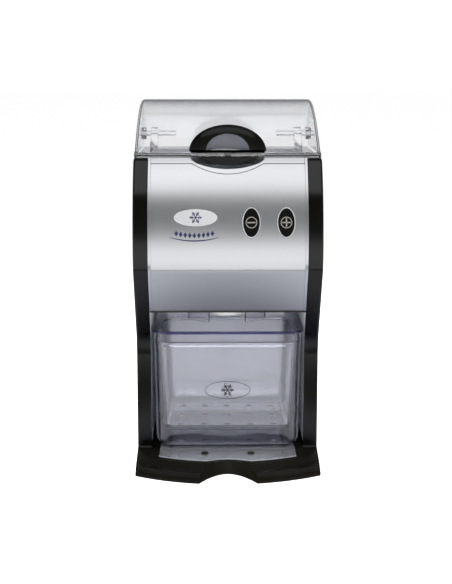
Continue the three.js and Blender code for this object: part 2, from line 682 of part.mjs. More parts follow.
// A solid across the lid from -half to half, with its outline given for each rounding depth.
function acrossLid(half, outlineAt) {
  const stations = LID_ROUND.map(([from, depth]) => [half - from, depth]);
  const sections = [...stations.map(([x, depth]) => [-x, depth]), ...stations.reverse()];
  const sectionAt = ([x, depth]) =>
    outlineAt(depth).reverse().map(([y, z]) => new THREE.Vector3(x, y, z));
  return loft(sections.map(sectionAt));
}

function lidSolid(grow = 0) {
  const reach = LID.rearY - HINGE.y;
  const start = THREE.MathUtils.radToDeg(Math.asin(-6 / reach));
  const under = arc(HINGE.y, HINGE.z, reach, start, -90, 6).slice(1);
  const outlineAt = (depth) => {
    const top = lidTop(14);
    const lowered = shifted(top, 1).map(([y, z], i) => {
      const [fromY, fromZ] = top[i];
      const m = Math.min(depth, 0.7 * (fromZ - LID.edgeZ)) - grow;
      return [fromY + (y - fromY) * m, fromZ + (z - fromZ) * m];
    });
    return [...lowered, ...under];
  };
  return acrossLid(LID.half, outlineAt);
}

const HINGE_SIDES = [["left", -1], ["right", 1]];

function lidShell() {
  const inner = LID.half - LID.wall;
  const cavity = acrossLid(inner, (depth) => {
    const top = shifted(lidTop(14), LID.wall + depth * 0.8);
    return [...top, [top[top.length - 1][0], 380], [top[0][0], 380]];
  });
  const lip = box(-LID.half + 1, LID.half - 1, LIP.y0, LIP.y1, LIP.z0, LIP.z1);
  const slot = box(-45, 45, TONGUE.y0 - GAP, NECK.y1 + GAP, LIP.z0 - 1, LIP.z1 + 5);
  const notch = box(-4, 4, LIP.y0 - 1, TONGUE.y1, LIP.z0 - 1, LIP.z1 + 1);
  const relief = box(-inner + 0.5, inner - 0.5, LID.rearY - 5, LID.rearY + 2, 385, HINGE.z - 5);
  let shell = cutAll(lidSolid().subtract(cavity).add(lip), [slot, notch, relief]);
  for (const [, sign] of HINGE_SIDES) {
    shell = shell
      .add(rodX(HINGE.y, HINGE.z, 8, ...acrossX(sign, inner - 3.5, inner + 0.5)))
      .subtract(rodX(HINGE.y, HINGE.z, HINGE.hole, ...acrossX(sign, 100, 118), 16));
  }
  return shell;
}

// The dome handle stands on the lid, and its tongue hangs into the finger scoop.
function lidHandle() {
  const { y, z, half, front, rear, high } = HANDLE;
  const ball = (deep) =>
    solid(new THREE.SphereGeometry(1, 36, 18).scale(half, deep, high).translate(0, y, z));
  const foreHalf = ball(front).intersect(box(-60, 60, 0, y, z, 440));
  const rearHalf = ball(rear).intersect(box(-60, 60, y - 0.01, 130, z, 440));
  const cup = solid(new THREE.SphereGeometry(1, 28, 14).scale(31, 12, 24.5).translate(0, y - front, z + 1));
  const dome = foreHalf.add(rearHalf).subtract(cup).subtract(lidSolid(GAP));
  const round = rodY(0, TONGUE.centreZ, TONGUE.radius, TONGUE.y0, TONGUE.y1, 64);
  const tongue = round.intersect(box(-44, 44, 40, 50, 370, z));
  const necks = [-1, 1].map((sign) =>
    box(...acrossX(sign, NECK.x0, NECK.x1), TONGUE.y1 - 1, NECK.y1, LIP.z0 + 0.2, NECK.top),
  );
  const notch = box(-4, 4, 40, 44.3, 392.4, 396.8);
  return joinAll([dome, tongue, ...necks]).subtract(notch);
}

function hingeBracket(sign) {
  const eye = arc(HINGE.y, HINGE.z, 8, 135, -60, 8);
  const outline = [[196.5, PANEL_TOP + GAP], [196.5, 395.5], ...eye, [209.5, PANEL_TOP + GAP]];
  return alongX(outline, ...acrossX(sign, 92, 102)).subtract(
    rodX(HINGE.y, HINGE.z, HINGE.hole, ...acrossX(sign, 80, 110), 16),
  );
}

place("lid_shell", lidShell(), LOOK.clearPlastic);
place("lid_handle", lidHandle(), LOOK.handle);
place("lid_magnet", box(-3.6, 3.6, 41.8, 44, 392.8, 396.4), LOOK.darkMetal);
place("lid_sensor", box(-7, 7, 53.8, 59.5, 374, 381), LOOK.rubber);
for (const [side, sign] of HINGE_SIDES) {
  place("hinge_bracket_" + side, hingeBracket(sign), LOOK.clearPlastic);
  place("hinge_pin_" + side, rodX(HINGE.y, HINGE.z, HINGE.pin, ...acrossX(sign, 68, 114), 16), LOOK.steel);
}

// ---- ice container -------------------------------------------------------------------------------------
function containerBin() {
  const outer = loft([
    ring(21.3, 85, 58, 206, 16),
    ring(24, 89.5, 54, 209, 19),
    ring(30, 91.3, 52, 210, 20.5),
    ring(153, 93.3, 48, 214, 22),
    ring(156, 94.3, 46.5, 216, 23),
    ring(171, 94.3, 46, 216, 23),
  ]);
  const flange = loft([ring(170, 96.2, 43.5, 218, 26), ring(173, 96.2, 43.5, 218, 26)]);
  const inner = loft([
    ring(24, 84, 60, 205, 15),
    ring(30, 88.8, 54.5, 207.5, 18.5),
    ring(153, 90.8, 50.5, 211.5, 20),
    ring(156, 91.8, 49, 213.5, 21),
    ring(174, 91.8, 49, 213.5, 21),
  ]);
  return outer.add(flange).subtract(inner);
}

function drainBasket() {
  const outer = loft([
    ring(40, 78.5, 62, 200, 12),
    ring(43, 82, 58.5, 204, 15),
    ring(157, 87.5, 53.5, 209.5, 18),
  ]);
  const flange = loft([ring(156.3, 91.4, 49.4, 213, 21), ring(158.3, 91.4, 49.4, 213, 21)]);
  const inner = loft([
    ring(42, 77.5, 63, 199, 11),
    ring(44, 80, 60.5, 202, 13),
    ring(159, 85.5, 55.5, 207.5, 16),
  ]);
  const holes = [];
  for (let x = -60; x <= 60; x += 30) {
    for (let y = 88; y <= 180; y += 45) holes.push(rodZ(x, y, 4, 35, 50, 8));
  }
  return cutAll(outer.add(flange).subtract(inner), holes);
}

place("container_bin", containerBin(), LOOK.clearPlastic);
place("drain_basket", drainBasket(), LOOK.clearPlastic);

export default machine;
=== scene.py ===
"""The looks of a counter-top electric ice crusher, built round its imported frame.

Lengths are in millimetres in the machine's own frame: x = 0 is the centre plane, y = 0 is the foremost
line of the head and z = 0 is the lower edge of the base. at() turns a point into the row frame, in metres.
"""
import math

import bmesh
import bpy
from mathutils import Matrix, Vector


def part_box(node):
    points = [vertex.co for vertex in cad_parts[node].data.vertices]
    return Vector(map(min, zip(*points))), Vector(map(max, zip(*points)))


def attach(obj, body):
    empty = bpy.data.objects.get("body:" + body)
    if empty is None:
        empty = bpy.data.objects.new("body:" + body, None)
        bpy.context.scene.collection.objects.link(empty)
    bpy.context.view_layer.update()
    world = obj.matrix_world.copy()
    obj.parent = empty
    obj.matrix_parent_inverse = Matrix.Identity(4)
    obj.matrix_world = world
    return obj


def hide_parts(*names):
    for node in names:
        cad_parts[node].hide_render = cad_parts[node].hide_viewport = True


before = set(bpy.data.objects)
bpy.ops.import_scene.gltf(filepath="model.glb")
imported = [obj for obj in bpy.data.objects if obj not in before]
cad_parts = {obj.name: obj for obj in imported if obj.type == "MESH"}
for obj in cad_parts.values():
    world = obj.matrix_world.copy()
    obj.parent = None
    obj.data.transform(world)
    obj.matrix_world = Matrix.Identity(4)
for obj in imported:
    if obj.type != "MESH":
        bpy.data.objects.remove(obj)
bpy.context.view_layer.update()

# ---- driving dimensions ------------------------------------------------------------------------------
MM = 0.001
SIDES = {"left": -1, "right": 1}
HALF = 115.0  # half the body's width
BAY = 97.0  # half the width between the side panels
GAP = 0.3  # between neighbours that don't touch
INSIDE = BAY - GAP
RIM = 3.0  # width of the rim beside the fascia
REAR = 300.0

BASE_RADIUS = 213.0  # of the round front, at its foot
BASE_CENTRE_Y = 180.0
BASE_REAR = 302.7
DECK = 18.0  # height of the flat top
DECK_RADIUS = 181.0
SLOPE_TOP = 16.0  # height and radius from which the front slopes down to its lip
SLOPE_RADIUS = 185.5
LIP = 3.0  # height of the front edge
SCALLOP_HALF = 35.5
SCALLOP_Y = 7.0

HEAD_RADIUS = 184.0  # of the face's curve, in side view
HEAD_Z = 277.0  # height of its foremost line
HEAD_SET = 1.0  # the side panels stand this far in front of the face
CREASE_Z = 257.0  # below this the face is straight
HEAD_LOW = 202.0
HEAD_TOP = 391.5
SKIN_SET = 0.2  # the fascia and the trim are sunk this far
SLOPE_FOOT = (51.1, 171.0)
BAY_EDGE_Y = 60.5
PANEL_TOE = 3.0
PANEL_FACE_TOP = 387.0
PANEL_TOP = 390.5
TOP_CORNER = 32.0

SEAM_Z = 383.9
SEAM_GAP = 0.65
SEAM_HALF = 43.0
SEAM_DIP = 12.0
SEAM_RADIUS = (SEAM_HALF**2 + SEAM_DIP**2) / (2 * SEAM_DIP)
TRIM_REAR = 53.4
SCOOP = (37.5, 393.0, 46.0, 14.5, 15.0)  # centre y and z, then the three radii

HINGE_Y = 226.0
HINGE_Z = 410.5
LID_HALF = 114.5
LID_WALL = 3.0
LID_EDGE_Z = 394.0
LID_FRONT_Y = 46.5
LID_TOP_Y = 215.0
LID_TOP_Z = 457.5
LID_REAR_Y = 242.5
LID_ROUND = 6.0

HANDLE_Y = 54.0
HANDLE_Z = 396.8
HANDLE_HALF = 47.5
HANDLE_FRONT = 12.0
HANDLE_REAR = 46.0
HANDLE_HIGH = 33.2
CUP = (42.0, 399.0, 27.0, 11.0, 21.0)  # centre y and z, then the three radii
TONGUE_HALF = 44.0

BUTTON_Z = 315.2
BUTTON_HALF = 9.6
BUTTON_TALL = 17.0
BUTTON_X = {"minus": 28.0, "plus": 70.0}
BADGE_X = -39.0
BADGE_Z = 321.0
BADGE_HALF = 26.3
BADGE_TALL = 10.4
PRINT_Z = 297.5
MARK_Z = 96.9  # of the container's printed mark
CHUTE_Y = 145.0

FEET = 2.0
STAGE_Y = 150.0  # centre of the floor and of the reflector
EYE = 250.0  # height above the floor from which the reflector's light is laid out
AIM = (0, 100, 230)  # where the lights point
CAMERA = (-18, -1473.6, 491.5)
LENS = 76.44
PITCH = 10.0  # degrees that the camera looks down
YAW = 0.6  # degrees that it looks to the right

origin_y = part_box("side_panel_left")[1].y - REAR * MM
origin_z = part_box("base_casting")[0].z


def at(x, y, z):
    return Vector((x * MM, y * MM + origin_y, z * MM + origin_z))


# ---- curves and outlines ------------------------------------------------------------------------------
def arc(cu, cv, radius, start, end, steps):
    turn = [math.radians(start + (end - start) * i / steps) for i in range(steps + 1)]
    return [(cu + radius * math.cos(a), cv + radius * math.sin(a)) for a in turn]


def oval(cu, cv, ru, rv, steps=64):
    return [(cu + ru * u, cv + rv * v) for u, v in arc(0, 0, 1, 0, 360, steps)[:-1]]


def rectangle(u0, v0, u1, v1):
    return [(u0, v0), (u1, v0), (u1, v1), (u0, v1)]


def curve(start, control, end, steps):
    points = []
    for i in range(steps + 1):
        t = i / steps
        points.append(tuple(
            (1 - t) ** 2 * a + 2 * t * (1 - t) * b + t * t * c for a, b, c in zip(start, control, end)
        ))
    return points


def offset(path, distance, closed=True):
    """The path moved to its left by distance: inwards, for an outline that runs anticlockwise."""
    count = len(path)
    moved = []
    for i, (u, v) in enumerate(path):
        before = path[(i - 1) % count] if closed else path[max(0, i - 1)]
        after = path[(i + 1) % count] if closed else path[min(count - 1, i + 1)]
        a = Vector((u - before[0], v - before[1])).normalized() if before != (u, v) else None
        b = Vector((after[0] - u, after[1] - v)).normalized() if after != (u, v) else None
        a = a or b
        b = b or a
        mitre = (a + b).normalized()
        reach = distance / max(0.5, mitre.dot(b))
        moved.append((u - mitre.y * reach, v + mitre.x * reach))
    return moved


def anticlockwise(outline):
    area = sum(a[0] * b[1] - b[0] * a[1] for a, b in zip(outline, outline[1:] + outline[:1]))
    return outline if area > 0 else outline[::-1]


def ring(width, y0, y1, radius, steps=10):
    """A rectangle of half width `width` from y0 to y1 with round corners, in plan."""
    points = []
    for cx, cy, start in (
        (width - radius, y1 - radius, 0),
        (radius - width, y1 - radius, 90),
        (radius - width, y0 + radius, 180),
        (width - radius, y0 + radius, 270),
    ):
        points += arc(cx, cy, radius, start, start + 90, steps)
    return points


def rings(rows):
    """Loops for lofted() from rows of height, half width, front and rear y, and corner radius."""
    return [[(x, y, z) for x, y in ring(*size)] for z, *size in rows]


def face_y(z):
    """How far back the head's surface is at height z."""
    if z >= CREASE_Z:
        return HEAD_SET + HEAD_RADIUS - math.sqrt(HEAD_RADIUS**2 - (z - HEAD_Z) ** 2)
    crease = face_y(CREASE_Z)
    fall = (SLOPE_FOOT[0] + HEAD_SET - crease) / (CREASE_Z - SLOPE_FOOT[1])
    return crease + fall * (CREASE_Z - z)


def seam_z(x, gap):
    """Height of the seam between the fascia and the trim above it, `gap` below its middle."""
    if abs(x) >= SEAM_HALF:
        return SEAM_Z - gap
    return min(SEAM_Z, SEAM_Z - SEAM_DIP + SEAM_RADIUS - math.sqrt((SEAM_RADIUS + gap) ** 2 - x * x))


def on_face(height):
    """A map for pulled() onto the face at a height: s goes into the head and v up its surface."""
    tilt = math.asin((height - HEAD_Z) / HEAD_RADIUS)
    y0 = HEAD_SET + HEAD_RADIUS * (1 - math.cos(tilt))

    def to_face(s, u, v):
        y = y0 + s * math.cos(tilt) + v * math.sin(tilt)
        z = height - s * math.sin(tilt) + v * math.cos(tilt)
        return u, y, z

    return to_face


# ---- meshes -------------------------------------------------------------------------------------------
def mesh_object(name, points, faces):
    mesh = bpy.data.meshes.new(name)
    mesh.from_pydata([at(*p) for p in points], [], faces)
    tidy = bmesh.new()
    tidy.from_mesh(mesh)
    bmesh.ops.remove_doubles(tidy, verts=tidy.verts, dist=0.02 * MM)
    bmesh.ops.dissolve_degenerate(tidy, edges=tidy.edges, dist=0.01 * MM)
    bmesh.ops.recalc_face_normals(tidy, faces=tidy.faces)
    tidy.to_mesh(mesh)
    tidy.free()
    piece = bpy.data.objects.new(name, mesh)
    bpy.context.scene.collection.objects.link(piece)
    return piece


def lofted(name, loops, ends=True):
    """A skin through loops of equal length, closed at both ends where asked."""
    count = len(loops[0])
    points = [p for loop in loops for p in loop]
    faces = []
    for k in range(len(loops) - 1):
        for i in range(count):
            j = (i + 1) % count
            faces.append((k * count + i, k * count + j, (k + 1) * count + j, (k + 1) * count + i))
    if ends:
        faces.append(tuple(range(count))[::-1])
        faces.append(tuple(range((len(loops) - 1) * count, len(loops) * count)))
    return mesh_object(name, points, faces)


def gridded(name, rows):
    """An open skin over rows of equal length, its normals to the front or up."""
    count = len(rows[0])
    points = [p for row in rows for p in row]
    faces = []
    for k in range(len(rows) - 1):
        for i in range(count - 1):
            a = k * count + i
            faces.append((a, a + 1, a + count + 1, a + count))
    piece = mesh_object(name, points, faces)
    if sum((p.normal.z - p.normal.y) * p.area for p in piece.data.polygons) < 0:
        piece.data.flip_normals()
    return piece


def rounded(a, b, radius, steps=4):
    """Stations from a to b with the inset that rounds each end by radius."""
    sign = 1 if b > a else -1
    quarter = [math.radians(90 * i / steps) for i in range(steps + 1)]
    first = [(a + sign * radius * (1 - math.sin(q)), radius * (1 - math.cos(q))) for q in reversed(quarter)]
    last = [(b - sign * radius * (1 - math.sin(q)), radius * (1 - math.cos(q))) for q in quarter]
    return first + last


AXES = {
    "x": lambda s, u, v: (s, u, v),
    "y": lambda s, u, v: (u, s, v),
    "z": lambda s, u, v: (u, v, s),
}


def swept(name, outline, stations, axis, ends=True):
    """An outline carried along an axis or a map, inset at each station by the amount given there."""
    to_point = AXES[axis] if isinstance(axis, str) else axis
    loops = [[to_point(s, u, v) for u, v in offset(outline, inset)] for s, inset in stations]
    return lofted(name, loops, ends)


def pulled(name, outline, stations, axis):
    """A closed solid from an outline that may run either way round."""
    return swept(name, anticlockwise(outline), stations, axis)


def applied(piece):
    """The piece with its modifiers made real."""
    graph = bpy.context.evaluated_depsgraph_get()
    mesh = bpy.data.meshes.new_from_object(piece.evaluated_get(graph))
    piece.modifiers.clear()
    piece.data = mesh
    return piece


def thickened(piece, wall):
    """Gives a skin a wall to the side that its normals point away from."""
    skin = piece.modifiers.new("wall", "SOLIDIFY")
    skin.thickness = wall * MM
    skin.offset = -1
    skin.use_even_offset = True
    return applied(piece)


def cut(piece, cutters):
    for cutter in cutters:
        hole = piece.modifiers.new("cut", "BOOLEAN")
        hole.operation = "DIFFERENCE"
        hole.solver = "EXACT"
        hole.material_mode = "TRANSFER"
        hole.object = cutter
    applied(piece)
    for cutter in cutters:
        bpy.data.objects.remove(cutter)
    return piece


def joined(piece, *others):
    """One mesh from several, each left as its own closed island."""
    whole = bmesh.new()
    for part in (piece, *others):
        whole.from_mesh(part.data)
    whole.to_mesh(piece.data)
    whole.free()
    for part in others:
        bpy.data.objects.remove(part)
    return piece


def softened(piece, width=0.5, segments=3, angle=32):
    """Rounds a piece's hard edges and shades it smooth."""
    mesh = piece.data
    if "custom_normal" in mesh.attributes:
        mesh.attributes.remove(mesh.attributes["custom_normal"])
    mesh.shade_smooth()
    if width:
        weld = piece.modifiers.new("weld", "WELD")
        weld.merge_threshold = 0.005 * MM
        edge = piece.modifiers.new("edge", "BEVEL")
        edge.width = width * MM
        edge.segments = segments
        edge.limit_method = "ANGLE"
        edge.angle_limit = math.radians(angle)
    normals = piece.modifiers.new("normals", "WEIGHTED_NORMAL")
    normals.weight = 90
    normals.keep_sharp = False
    return piece


def show(piece, body, finish, material_slot, *replaced):
    """Puts a finished piece on its body, in place of the nodes it stands for."""
    if not any(piece.data.materials):  # a cut leaves an empty slot
        piece.data.materials.clear()
        piece.data.materials.append(finish)
    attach(piece, body)
    if replaced:
        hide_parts(*replaced)
    return piece


# ---- materials ----------------------------------------------------------------------------------------
def shader(name):
    material = bpy.data.materials.new(name)
    material.use_nodes = True
    tree = material.node_tree
    return material, tree, tree.nodes["Principled BSDF"]


def noise(tree, scale, detail=3.0, stretch=(1, 1, 1)):
    place = tree.nodes.new("ShaderNodeTexCoord")
    mapping = tree.nodes.new("ShaderNodeMapping")
    mapping.inputs["Scale"].default_value = stretch
    texture = tree.nodes.new("ShaderNodeTexNoise")
    texture.inputs["Scale"].default_value = scale
    texture.inputs["Detail"].default_value = detail
    tree.links.new(place.outputs["Object"], mapping.inputs["Vector"])
    tree.links.new(mapping.outputs["Vector"], texture.inputs["Vector"])
    return texture.outputs[0]


def ramp(tree, value, low, high, start=0.3, end=0.7):
    """Colours from low to high as value goes from start to end."""
    node = tree.nodes.new("ShaderNodeValToRGB")
    for stop, position, colour in zip(node.color_ramp.elements, (start, end), (low, high)):
        stop.position = position
        stop.color = (*colour, 1)
    tree.links.new(value, node.inputs[0])
    return node.outputs[0]


def span(tree, value, low, high, start=0.0, end=1.0):
    """A number from low to high as value goes from start to end."""
    node = tree.nodes.new("ShaderNodeMapRange")
    settings = {"From Min": start, "From Max": end, "To Min": low, "To Max": high}
    for socket, setting in settings.items():
        node.inputs[socket].default_value = setting
    tree.links.new(value, node.inputs["Value"])
    return node.outputs[0]


def bump(tree, shader_node, value, strength, depth):
    node = tree.nodes.new("ShaderNodeBump")
    node.inputs["Strength"].default_value = strength
    node.inputs["Distance"].default_value = depth * MM
    tree.links.new(value, node.inputs["Height"])
    tree.links.new(node.outputs[0], shader_node.inputs["Normal"])


def moulded(
    name, dark, light, rough, grain=900, depth=0.02, metallic=0.0, patches=18, stretch=(1, 1, 1), shine=0.5
):
    """A surface whose colour drifts in soft patches and whose gloss follows a fine grain."""
    material, tree, node = shader(name)
    node.inputs["Metallic"].default_value = metallic
    node.inputs["Specular IOR Level"].default_value = shine
    drift = noise(tree, patches, 4)
    fine = noise(tree, grain, 2, stretch)
    tree.links.new(ramp(tree, drift, dark, light), node.inputs["Base Color"])
    tree.links.new(span(tree, fine, *rough), node.inputs["Roughness"])
    bump(tree, node, fine, 0.25, depth)
    return material


def black_gloss():
    """Polished black moulding: a faint orange peel and the dulled spots that wiping leaves."""
    material, tree, node = shader("black_gloss")
    node.inputs["Specular IOR Level"].default_value = 0.37
    smear = noise(tree, 26, 5)
    peel = noise(tree, 240, 2)
    colour = ramp(tree, smear, (0.0007, 0.0006, 0.0004), (0.0013, 0.0011, 0.0008))
    tree.links.new(colour, node.inputs["Base Color"])
    tree.links.new(span(tree, smear, 0.07, 0.17), node.inputs["Roughness"])
    bump(tree, node, peel, 0.06, 0.05)
    return material


def silver_paint():
    """Satin silver lacquer: fine flakes under a soft coat."""
    material, tree, node = shader("silver_paint")
    node.inputs["Metallic"].default_value = 0.98
    node.inputs["Coat Weight"].default_value = 0.15
    node.inputs["Coat Roughness"].default_value = 0.12
    flakes = noise(tree, 5200, 1)
    drift = noise(tree, 9, 3)
    colour = ramp(tree, flakes, (0.6, 0.61, 0.63), (0.7, 0.71, 0.73), 0.35, 0.65)
    tree.links.new(colour, node.inputs["Base Color"])
    tree.links.new(span(tree, drift, 0.27, 0.33), node.inputs["Roughness"])
    bump(tree, node, flakes, 0.12, 0.01)
    return material


def clear(name, tint, density, waves=0.02, haze_dark=(0.988, 0.99, 0.997), ior=1.49):
    """Clear moulded plastic that takes on its tint through its thickness."""
    material, tree, node = shader(name)
    node.inputs["Transmission Weight"].default_value = 1.0
    node.inputs["IOR"].default_value = ior
    haze = noise(tree, 34, 4)
    haze_light = [0.5 + 0.5 * channel for channel in haze_dark]
    tree.links.new(ramp(tree, haze, haze_dark, haze_light), node.inputs["Base Color"])
    tree.links.new(span(tree, haze, 0.012, 0.05), node.inputs["Roughness"])
    bump(tree, node, noise(tree, 60, 2), waves, 0.08)
    inside = tree.nodes.new("ShaderNodeVolumeAbsorption")
    inside.inputs["Color"].default_value = (*tint, 1)
    inside.inputs["Density"].default_value = density
    tree.links.new(inside.outputs[0], tree.nodes["Material Output"].inputs["Volume"])
    return material


def print_ink(dark, light):
    return {"dark": dark, "light": light, "rough": (0.3, 0.4), "grain": 800, "depth": 0.01}


MOULDED = {
    "handle_black": dict(
        dark=(0.002, 0.002, 0.0018), light=(0.004, 0.0038, 0.0033), rough=(0.16, 0.26), grain=500, shine=0.22
    ),
    # The grey of the handle's cup is a painted reflection: it stands for the light that the black dome
    # reflects in front.
    "handle_cup_painted_reflection": dict(dark=(0.09, 0.096, 0.11), light=(0.125, 0.132, 0.152), rough=(0.28, 0.4)),
    "base_black": dict(
        dark=(0.007, 0.006, 0.0044), light=(0.011, 0.0095, 0.007), rough=(0.4, 0.52), shine=0.15
    ),
    "bright_steel": dict(
        dark=(0.56, 0.56, 0.57), light=(0.68, 0.68, 0.69), rough=(0.22, 0.4), grain=2600, metallic=1.0,
        patches=14, stretch=(0.03, 1, 1),
    ),
    "drip_steel": dict(
        dark=(0.7, 0.71, 0.75), light=(0.78, 0.79, 0.83), rough=(0.14, 0.24), grain=1800, depth=0.01,
        metallic=0.7,
    ),
    "cast_metal": dict(
        dark=(0.24, 0.25, 0.26), light=(0.36, 0.37, 0.38), rough=(0.38, 0.62), grain=700, depth=0.12,
        metallic=0.9,
    ),
    "motor_iron": dict(
        dark=(0.05, 0.05, 0.055), light=(0.12, 0.115, 0.11), rough=(0.3, 0.5), grain=1600, depth=0.05,
        metallic=0.5,
    ),
    "sheet_metal": dict(
        dark=(0.07, 0.07, 0.075), light=(0.11, 0.11, 0.115), rough=(0.35, 0.5), grain=1200, depth=0.03,
        metallic=0.4,
    ),
    "brass": dict(dark=(0.52, 0.36, 0.13), light=(0.66, 0.48, 0.2), rough=(0.24, 0.4), metallic=1.0),
    "grey_plastic": dict(dark=(0.82, 0.83, 0.86), light=(0.87, 0.88, 0.91), rough=(0.35, 0.5), grain=1400),
    "white_plastic": dict(dark=(0.82, 0.82, 0.81), light=(0.88, 0.88, 0.87), rough=(0.22, 0.34), grain=1100),
    "black_rubber": dict(
        dark=(0.012, 0.012, 0.012), light=(0.024, 0.023, 0.022), rough=(0.62, 0.9), grain=2400, depth=0.05
    ),
    "circuit_board": dict(dark=(0.012, 0.07, 0.03), light=(0.02, 0.11, 0.045), rough=(0.25, 0.45), grain=700),
    "badge": dict(
        dark=(0.41, 0.415, 0.425), light=(0.45, 0.455, 0.465), rough=(0.18, 0.28), grain=600, depth=0.01
    ),
    "blue_print": print_ink((0.008, 0.014, 0.06), (0.014, 0.022, 0.085)),
    "light_print": print_ink((0.2, 0.195, 0.175), (0.26, 0.25, 0.23)),
    "grey_print": print_ink((0.016, 0.016, 0.022), (0.028, 0.028, 0.036)),
}
CLEAR = {
    "clear_plastic": dict(tint=(0.26, 0.32, 0.74), density=58),
    "clear_rim": dict(tint=(0.08, 0.12, 0.62), density=1150),
    "clear_basket": dict(tint=(0.36, 0.42, 0.8), density=14),
    "clear_bracket": dict(tint=(0.5, 0.51, 0.56), density=4, waves=0.01, ior=1.22),
    "clear_hood": dict(tint=(0.5, 0.51, 0.56), density=58, waves=0.01, haze_dark=(0.98, 0.982, 0.988)),
}
FINISH = {
    "black_gloss": black_gloss(),
    "silver_fascia": silver_paint(),
    **{name: clear(name, **look) for name, look in CLEAR.items()},
    **{name: moulded(name, **look) for name, look in MOULDED.items()},
}


# ---- body ---------------------------------------------------------------------------------------------
def side_outline():
    low = DECK + GAP
    steps = 48
    heights = [CREASE_Z + i * (PANEL_FACE_TOP - CREASE_Z) / steps for i in range(steps + 1)]
    face = [(face_y(z) - HEAD_SET, z) for z in heights]
    return [
        (REAR, low),
        *arc(BAY_EDGE_Y - PANEL_TOE, low + PANEL_TOE, PANEL_TOE, 270, 360, 8),
        *curve((BAY_EDGE_Y, 140), (BAY_EDGE_Y, 157), SLOPE_FOOT, 14),
        *face,
        *curve(face[-1], (39.5, PANEL_TOP), (46, PANEL_TOP), 8)[1:],
        *arc(REAR - TOP_CORNER, PANEL_TOP - TOP_CORNER, TOP_CORNER, 90, 0, 16),
    ]


def side_panel(side):
    """A moulded side: a rounded outer edge, and a pocket behind it that the inner wall closes."""
    wall, pocket = 3, 6
    inner_round, outer_round = rounded(BAY, HALF, 0.6), rounded(BAY, HALF, 3.2, 6)
    stations = [(HALF - wall, pocket), (BAY, pocket), *inner_round[:5], *outer_round[7:]]
    stations = [(SIDES[side] * x, inset) for x, inset in stations]
    piece = pulled("side_panel_" + side + "_shell", side_outline(), stations, "x")
    softened(piece, 0)
    show(piece, "housing", FINISH["black_gloss"], "black_gloss", "side_panel_" + side)


def base_height(radius):
    """Height of the base's top surface at a distance from the centre of its round front."""
    if radius <= DECK_RADIUS:
        return DECK
    if radius <= SLOPE_RADIUS:
        return DECK - (DECK - SLOPE_TOP) * (radius - DECK_RADIUS) / (SLOPE_RADIUS - DECK_RADIUS)
    return SLOPE_TOP - (SLOPE_TOP - LIP) * (radius - SLOPE_RADIUS) / (BASE_RADIUS - SLOPE_RADIUS)


def base_outline():
    """Plan of the base: straight sides, a round front with a scallop in it, and round rear corners."""
    corner = 12

    def front_angle(x):
        return math.degrees(math.atan2(-math.sqrt(BASE_RADIUS**2 - x**2), x))

    front = arc(0, BASE_CENTRE_Y, BASE_RADIUS, front_angle(SCALLOP_HALF), front_angle(HALF), 20)
    scallop = curve((0, SCALLOP_Y), (17, 6.4), front[0], 16)
    sides = [(HALF, y) for y in range(20, 261, 40)]
    rear = arc(HALF - corner, BASE_REAR - corner, corner, 0, 90, 8)
    half = scallop + front[1:] + sides + rear
    return half + [(-x, y) for x, y in half[::-1][:-1]]


def base_cover():
    """The base moulding: a deck that slopes down to a thin lip all along its round front."""
    centre = Vector((0, BASE_CENTRE_Y))

    def loop(limit=math.inf, height=None, inset=0):
        """The outline drawn in to a radius, on the top surface or at a height of its own."""
        points = []
        for point in base_outline():
            arm = Vector(point) - centre
            place = centre + arm * min(1, limit / arm.length)
            radius = (place - centre).length
            place = centre + (place - centre) * (1 - inset / radius)
            points.append((place.x, place.y, base_height(radius) if height is None else height))
        return points

    hollow, hollow_top = 5, 12
    loops = [loop(height=hollow_top, inset=hollow), loop(height=0, inset=hollow), loop(height=0), loop()]
    loops += [loop(limit) for limit in (206, 199, 192, SLOPE_RADIUS, DECK_RADIUS, 160)]
    piece = softened(lofted("base_cover", loops), 1.1, 3)
    show(piece, "housing", FINISH["base_black"], "black_gloss", "base_casting")


# ---- head ---------------------------------------------------------------------------------------------
def button_hole(x, grow):
    outline = oval(x, 0, BUTTON_HALF + grow, BUTTON_TALL + grow)
    return pulled("hole", outline, [(-8, 0), (12, 0)], on_face(BUTTON_Z))


def fascia():
    """The silver front, with a round dip in its top edge and a hole for each button."""
    half = INSIDE - RIM - GAP
    fine, last = 48, 99
    wall, bezel_room = 2.5, 1.9
    columns = [half * math.sin(math.radians(90 * i / fine)) for i in range(-fine, fine + 1)]
    rows = []
    for k in range(last + 1):
        row = []
        for x in columns:
            z = HEAD_LOW + (seam_z(x, SEAM_GAP) - HEAD_LOW) * k / last
            row.append((x, face_y(z) + SKIN_SET, z))
        rows.append(row)
    piece = thickened(gridded("fascia_panel", rows), wall)
    cut(piece, [button_hole(x, bezel_room) for x in BUTTON_X.values()])
    softened(piece, 0.5, 2, 40)
    show(piece, "housing", FINISH["silver_fascia"], "silver_fascia", "front_fascia")


def shade_line_strip():
    """A black strip that paints the shade line under the fascia's lower edge."""
    half = INSIDE - 0.2
    front = face_y(HEAD_LOW)
    outline = rectangle(front - 0.5, HEAD_LOW - 2.1, front + 3.2, HEAD_LOW - 0.2)
    # painted shade: a black strip in place of the shadow gap below the fascia
    piece = softened(pulled("fascia_shade_line_strip", outline, rounded(-half, half, 0.3, 2), "x"), 0.2)
    show(piece, "housing", FINISH["black_rubber"], "black_rubber")


